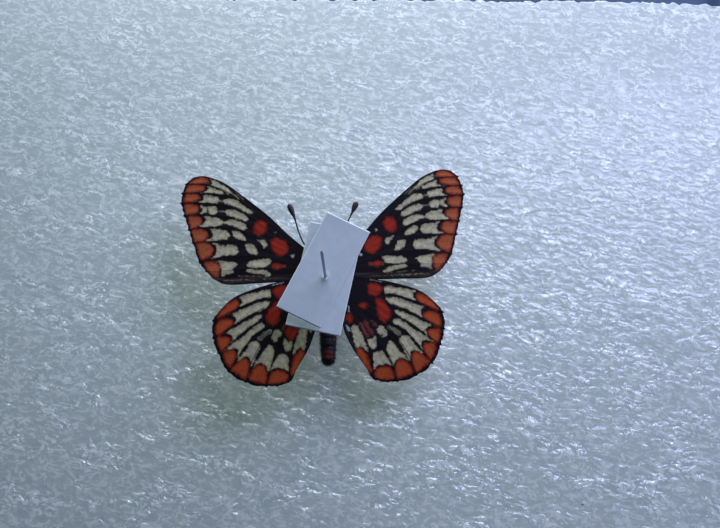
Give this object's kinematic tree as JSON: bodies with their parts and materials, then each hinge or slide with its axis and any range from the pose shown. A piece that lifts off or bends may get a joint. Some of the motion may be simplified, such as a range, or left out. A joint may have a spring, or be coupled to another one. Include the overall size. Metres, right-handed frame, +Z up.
{
  "type": "insect collection drawer",
  "caption": "Open foam-lined wooden drawer with a butterfly pinned underside up on an upright pin that carries blank data labels.",
  "frame": {"origin": "on the surface the drawer rests on, below the middle of its whole length and depth, knob included", "axes": "+X along the front, to the right for someone facing the knob; +Y from the front to the back; +Z up"},
  "size_m": [0.23, 0.166, 0.054],
  "materials": {
    "lacquered_wood": "satin",
    "bottom_plywood": "matte",
    "turned_brass": "satin",
    "white_foam": "satin",
    "pin_steel": "satin",
    "hairy_body": "matte",
    "wing_scales": "matte",
    "white_card": "matte"
  },
  "bodies": {
    "root": {"front_board": "lacquered_wood", "back_board": "lacquered_wood", "left_side": "lacquered_wood", "right_side": "lacquered_wood", "bottom_panel": "bottom_plywood", "front_knob": "turned_brass", "foam_liner": "white_foam", "insect_pin": "pin_steel", "butterfly_body": "hairy_body", "left_forewing": "wing_scales", "right_forewing": "wing_scales", "left_hindwing": "wing_scales", "right_hindwing": "wing_scales", "lower_label": "white_card", "upper_label": "white_card"}
  },
  "joints": []
}
